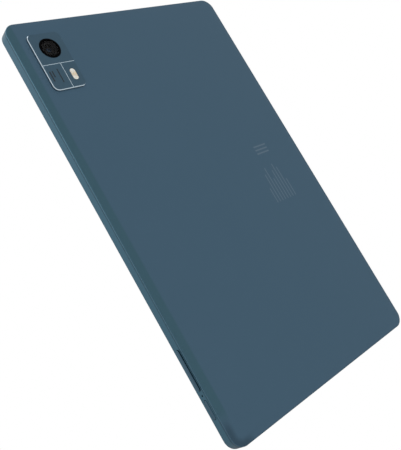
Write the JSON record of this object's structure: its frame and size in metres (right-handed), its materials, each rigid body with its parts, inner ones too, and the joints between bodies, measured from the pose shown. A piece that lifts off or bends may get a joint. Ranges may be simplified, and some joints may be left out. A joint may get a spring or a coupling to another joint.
{
  "type": "tablet computer",
  "caption": "Slim slab tablet with a raised camera island at a back corner, volume and power keys on a long edge, a slide-out card tray, and its working inner parts.",
  "frame": {"origin": "under the middle of the tablet, level with the lowest face, which is the front of the camera ring", "axes": "+Z out of the screen, +X along the long side away from the camera end, +Y towards the long edge that carries the keys"},
  "size_m": [0.247, 0.1575, 0.0087],
  "materials": {
    "cover_paint": "satin blue paint",
    "frame_paint": "satin blue paint",
    "island_paint": "satin blue paint, polished edges",
    "key_paint": "satin blue paint",
    "stamped_plate": "stamped",
    "screen_glass": "polished",
    "display_dark": "polished",
    "backlight_tray": "moulded",
    "black_foam": "foam",
    "flat_cable": "laminated film",
    "black_ring": "gloss black",
    "camera_glass": "polished",
    "flash_diffuser": "clear moulded",
    "lamp_phosphor": "matt",
    "circuit_board": "solder mask",
    "camera_housing": "dark nickel",
    "black_plastic": "moulded",
    "lens_glass": "coated",
    "chip_resin": "moulded",
    "shield_steel": "tinned",
    "connector_plastic": "moulded",
    "battery_foil": "black foil",
    "white_tape": "tape",
    "socket_steel": "nickel",
    "gold_contact": "plated",
    "black_mesh": "woven",
    "screw_steel": "machined"
  },
  "bodies": {
    "tablet_body": {"rear_cover": "cover_paint", "side_frame": "frame_paint", "mid_plate": "stamped_plate", "cover_glass": "screen_glass", "glass_adhesive": "black_foam", "display_panel": "display_dark", "backlight": "backlight_tray", "foam_strips": "black_foam", "display_cable": "flat_cable", "camera_island": "island_paint", "camera_ring": "black_ring", "camera_glass": "camera_glass", "flash_window": "flash_diffuser", "flash_lamps": "lamp_phosphor", "flash_board": "circuit_board", "rear_camera_housing": "camera_housing", "rear_camera_board": "flat_cable", "front_camera": "camera_housing", "front_camera_cable": "flat_cable", "main_board": "circuit_board", "main_chips": "chip_resin", "shield_cans": "shield_steel", "plug_connectors": "connector_plastic", "battery_cells": "battery_foil", "battery_board": "circuit_board", "battery_cable": "flat_cable", "battery_adhesive": "white_tape", "port_board": "circuit_board", "usb_socket_shell": "socket_steel", "usb_socket_tongue": "black_plastic", "headphone_jack": "black_plastic", "jack_contacts": "gold_contact", "link_cable": "flat_cable", "speaker_boxes": "black_plastic", "speaker_drivers": "stamped_plate", "speaker_meshes": "black_mesh", "microphones": "shield_steel", "antennas": "flat_cable", "key_cable": "flat_cable", "key_bracket": "shield_steel", "dome_switches": "shield_steel", "card_reader": "shield_steel", "board_screws": "screw_steel"},
    "volume_rocker_body": {"volume_rocker": "key_paint"},
    "power_key_body": {"power_key": "key_paint"},
    "card_tray_body": {"card_tray": "frame_paint"},
    "eject_rod_body": {"eject_rod": "shield_steel"},
    "eject_lever_body": {"eject_lever": "shield_steel"},
    "focus_barrel_body": {"focus_barrel": "black_plastic", "focus_lens": "lens_glass"}
  },
  "joints": [
    {"name": "volume_rock", "type": "hinge", "parent": "tablet_body", "child": "volume_rocker_body", "pos_m": [0.07855, 0.0762, 0.005], "axis": [0, 0, 1], "range_deg": [-1.5, 1.5], "stiffness_Nm_per_rad": 0.5},
    {"name": "power_press", "type": "slide", "parent": "tablet_body", "child": "power_key_body", "axis": [0, -1, 0], "range_m": [0, 0.0003], "stiffness_N_per_m": 3000},
    {"name": "tray_slide", "type": "slide", "parent": "tablet_body", "child": "card_tray_body", "axis": [-1, 0, 0], "range_m": [0, 0.0285]},
    {"name": "eject_push", "type": "slide", "parent": "tablet_body", "child": "eject_rod_body", "axis": [1, 0, 0], "range_m": [0, 0.0016]},
    {"name": "eject_turn", "type": "hinge", "parent": "tablet_body", "child": "eject_lever_body", "pos_m": [-0.0915, 0.001, 0.00415], "axis": [0, 0, -1], "range_deg": [0, 15.01]},
    {"name": "focus_slide", "type": "slide", "parent": "tablet_body", "child": "focus_barrel_body", "axis": [0, 0, -1], "range_m": [0, 0.0003], "stiffness_N_per_m": 170}
  ],
  "couplings": [
    {"joint": "eject_turn", "follows": "eject_push", "rad_per_m": 163.62}
  ]
}
